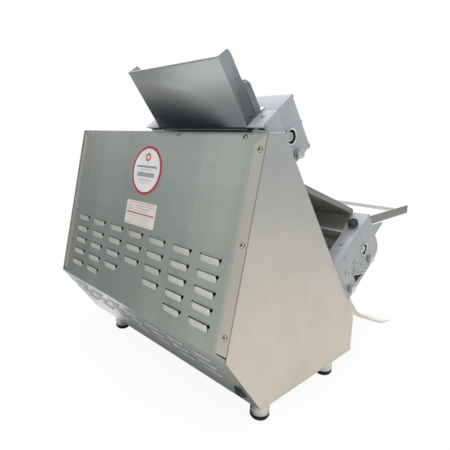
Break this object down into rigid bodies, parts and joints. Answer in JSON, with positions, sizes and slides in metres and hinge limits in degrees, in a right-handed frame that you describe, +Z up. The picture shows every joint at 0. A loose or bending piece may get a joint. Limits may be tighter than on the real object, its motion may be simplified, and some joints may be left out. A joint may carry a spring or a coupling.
{
  "type": "dough sheeter",
  "caption": "Table-top two-stage dough sheeter with a slanted louvred drive housing, an offset upper rolling head, a wide lower rolling head, infeed chute, tilting tray and discharge slide.",
  "frame": {"origin": "on the ground under the middle of the overall box", "axes": "+Z up; the operator stands on the -Y side; the louvred rear cover faces +Y; rollers lie along X; +X is the operator's right when facing +Y"},
  "size_m": [0.606, 0.711, 0.6314],
  "materials": {
    "cover_steel": "vertical brushed",
    "side_steel": "fine brushed",
    "zinc_steel": "zinc grey",
    "shaft_steel": "ground steel",
    "foot_rubber": "matt",
    "cast_housing": "cast",
    "motor_paint": "satin paint",
    "drive_steel": "oiled steel",
    "bezel_paint": "satin",
    "black_plastic": "moulded",
    "head_paint": "satin silver grey",
    "bearing_polymer": "machined polymer",
    "roller_polymer": "ground food polymer",
    "tray_steel": "polished sheet",
    "green_plastic": "gloss",
    "red_plastic": "gloss"
  },
  "bodies": {
    "housing": {"side_panel_left": "side_steel", "side_panel_right": "side_steel", "base_pan": "zinc_steel", "rear_cover": "cover_steel", "top_rail": "zinc_steel", "front_wall": "zinc_steel", "foot_sleeve_front_left": "shaft_steel", "foot_pad_front_left": "foot_rubber", "foot_sleeve_front_right": "shaft_steel", "foot_pad_front_right": "foot_rubber", "foot_sleeve_rear_left": "shaft_steel", "foot_pad_rear_left": "foot_rubber", "foot_sleeve_rear_right": "shaft_steel", "foot_pad_rear_right": "foot_rubber", "gearbox": "cast_housing", "motor": "motor_paint", "chain_upper": "drive_steel", "chain_lower": "drive_steel", "control_box": "zinc_steel", "control_bezel": "bezel_paint", "power_inlet": "black_plastic", "upper_end_box_left": "head_paint", "upper_end_box_right": "head_paint", "upper_front_cover": "head_paint", "lower_end_box_left": "head_paint", "lower_end_box_right": "head_paint", "lower_front_cover": "head_paint", "upper_bearing_plate_left": "bearing_polymer", "upper_bearing_plate_right": "bearing_polymer", "lower_bearing_plate_left": "bearing_polymer", "lower_bearing_plate_right": "bearing_polymer", "infeed_chute": "tray_steel", "infeed_guard": "tray_steel", "transfer_chute": "tray_steel", "discharge_slide": "tray_steel"},
    "drive_shaft": {"drive_shaft": "shaft_steel"},
    "upper_rear_roller": {"upper_rear_roller": "roller_polymer", "upper_rear_gear": "drive_steel"},
    "lower_rear_roller": {"lower_rear_roller": "roller_polymer", "lower_rear_gear": "drive_steel"},
    "upper_gap_slider": {"upper_slider_left": "drive_steel", "upper_slider_right": "drive_steel"},
    "lower_gap_slider": {"lower_slider_left": "drive_steel", "lower_slider_right": "drive_steel"},
    "upper_front_roller": {"upper_front_roller": "roller_polymer", "upper_front_gear": "drive_steel"},
    "lower_front_roller": {"lower_front_roller": "roller_polymer", "lower_front_gear": "drive_steel"},
    "upper_gap_knob": {"upper_gap_knob": "black_plastic"},
    "lower_gap_knob": {"lower_gap_knob": "black_plastic"},
    "clamp_knob": {"clamp_knob": "black_plastic"},
    "upper_front_scraper": {"upper_front_scraper": "shaft_steel"},
    "upper_rear_scraper": {"upper_rear_scraper": "shaft_steel"},
    "lower_front_scraper": {"lower_front_scraper": "shaft_steel"},
    "lower_rear_scraper": {"lower_rear_scraper": "shaft_steel"},
    "front_tray": {"front_tray": "tray_steel"},
    "start_button": {"start_button": "green_plastic"},
    "stop_button": {"stop_button": "red_plastic"}
  },
  "joints": [
    {"name": "drive_spin", "type": "hinge", "parent": "housing", "child": "drive_shaft", "pos_m": [0, 0.15, 0.15], "axis": [1, 0, 0], "continuous": true},
    {"name": "upper_rear_roller_spin", "type": "hinge", "parent": "housing", "child": "upper_rear_roller", "pos_m": [-0.147, 0.2461, 0.48156], "axis": [1, 0, 0], "continuous": true},
    {"name": "lower_rear_roller_spin", "type": "hinge", "parent": "housing", "child": "lower_rear_roller", "pos_m": [-0.056, -0.04342, 0.23422], "axis": [1, 0, 0], "continuous": true},
    {"name": "upper_front_roller_spin", "type": "hinge", "parent": "upper_gap_slider", "child": "upper_front_roller", "pos_m": [-0.147, 0.20555, 0.50995], "axis": [1, 0, 0], "continuous": true},
    {"name": "lower_front_roller_spin", "type": "hinge", "parent": "lower_gap_slider", "child": "lower_front_roller", "pos_m": [-0.056, -0.08397, 0.26261], "axis": [1, 0, 0], "continuous": true},
    {"name": "upper_gap_knob_turn", "type": "hinge", "parent": "housing", "child": "upper_gap_knob", "pos_m": [-0.027, 0.16869, 0.53576], "axis": [0, -0.8192, 0.5736], "range_deg": [-98, 271]},
    {"name": "lower_gap_knob_turn", "type": "hinge", "parent": "housing", "child": "lower_gap_knob", "pos_m": [0.155, -0.13525, 0.29851], "axis": [0, -0.8192, 0.5736], "range_deg": [-98, 271]},
    {"name": "upper_gap_slide", "type": "slide", "parent": "housing", "child": "upper_gap_slider", "axis": [0, -0.8192, 0.5736], "range_m": [-0.0009, 0.0025]},
    {"name": "lower_gap_slide", "type": "slide", "parent": "housing", "child": "lower_gap_slider", "axis": [0, -0.8192, 0.5736], "range_m": [-0.0009, 0.0025]},
    {"name": "clamp_knob_turn", "type": "hinge", "parent": "housing", "child": "clamp_knob", "pos_m": [-0.278, -0.05254, 0.32423], "axis": [0, 0.5736, 0.8192], "range_deg": [0, 360]},
    {"name": "front_tray_tilt", "type": "hinge", "parent": "housing", "child": "front_tray", "pos_m": [-0.071, -0.128, 0.302], "axis": [-1, 0, 0], "range_deg": [0, 45]},
    {"name": "start_button_press", "type": "slide", "parent": "housing", "child": "start_button", "axis": [-1, 0, 0], "range_m": [0, 0.003]},
    {"name": "stop_button_press", "type": "slide", "parent": "housing", "child": "stop_button", "axis": [-1, 0, 0], "range_m": [0, 0.003]},
    {"name": "upper_front_scraper_swing", "type": "hinge", "parent": "housing", "child": "upper_front_scraper", "pos_m": [-0.147, 0.18817, 0.48269], "axis": [-1, 0, 0], "range_deg": [0, 8]},
    {"name": "upper_rear_scraper_swing", "type": "hinge", "parent": "housing", "child": "upper_rear_scraper", "pos_m": [-0.147, 0.23913, 0.44982], "axis": [1, 0, 0], "range_deg": [0, 8]},
    {"name": "lower_front_scraper_swing", "type": "hinge", "parent": "housing", "child": "lower_front_scraper", "pos_m": [-0.056, -0.1081, 0.23617], "axis": [-1, 0, 0], "range_deg": [0, 8]},
    {"name": "lower_rear_scraper_swing", "type": "hinge", "parent": "housing", "child": "lower_rear_scraper", "pos_m": [-0.056, -0.03327, 0.18438], "axis": [1, 0, 0], "range_deg": [0, 8]}
  ],
  "couplings": [
    {"joint": "upper_rear_roller_spin", "follows": "drive_spin", "ratio": 1},
    {"joint": "lower_rear_roller_spin", "follows": "drive_spin", "ratio": 1},
    {"joint": "upper_front_roller_spin", "follows": "drive_spin", "ratio": -1},
    {"joint": "lower_front_roller_spin", "follows": "drive_spin", "ratio": -1},
    {"joint": "upper_gap_knob_turn", "follows": "upper_gap_slide", "rad_per_m": 1885},
    {"joint": "lower_gap_knob_turn", "follows": "lower_gap_slide", "rad_per_m": 1885}
  ]
}
